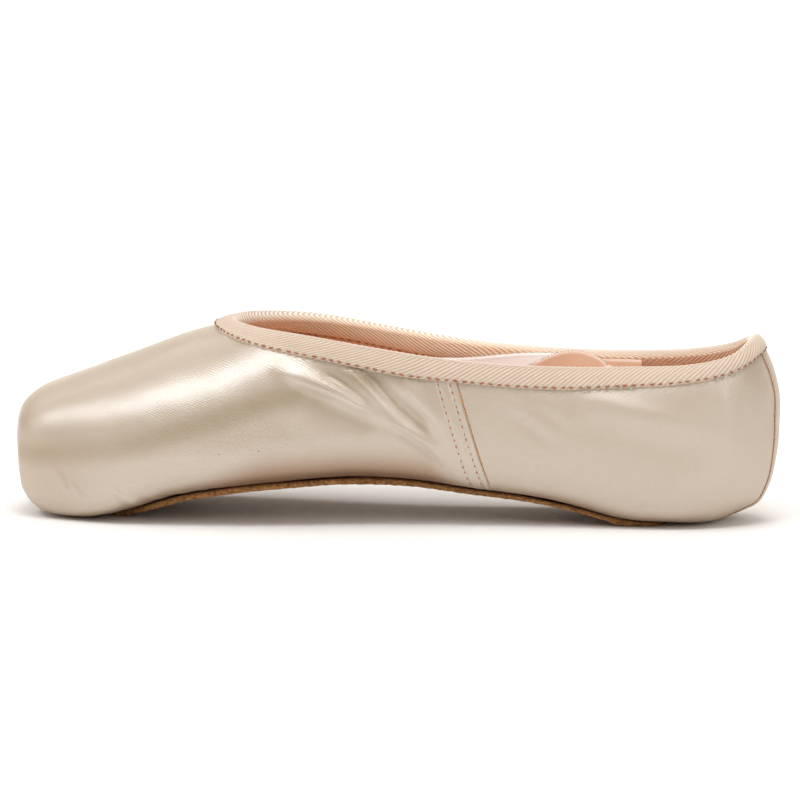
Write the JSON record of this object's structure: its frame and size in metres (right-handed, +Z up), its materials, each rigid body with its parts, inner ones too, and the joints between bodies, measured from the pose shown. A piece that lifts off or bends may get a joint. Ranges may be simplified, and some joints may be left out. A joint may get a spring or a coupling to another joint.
{
  "type": "pointe shoe",
  "caption": "Satin pointe shoe with a stiff toe box, ribbed binding round the collar, a short leather sole and a ribbon tucked inside.",
  "frame": {"origin": "on the floor under the middle of the shoe's length and width", "axes": "+X from the toe to the heel, +Y across the shoe, +Z up from the floor"},
  "size_m": [0.239, 0.079, 0.0616],
  "materials": {
    "satin": "satin weave with a soft sheen",
    "binding": "ribbed matt tape",
    "leather": "matt buffed",
    "lining": "matt cotton twill",
    "ribbon": "glossy satin"
  },
  "bodies": {
    "root": {"upper": "satin", "binding": "binding", "outsole": "leather", "insole": "lining", "back_strip": "satin", "ribbon": "ribbon"}
  },
  "joints": []
}
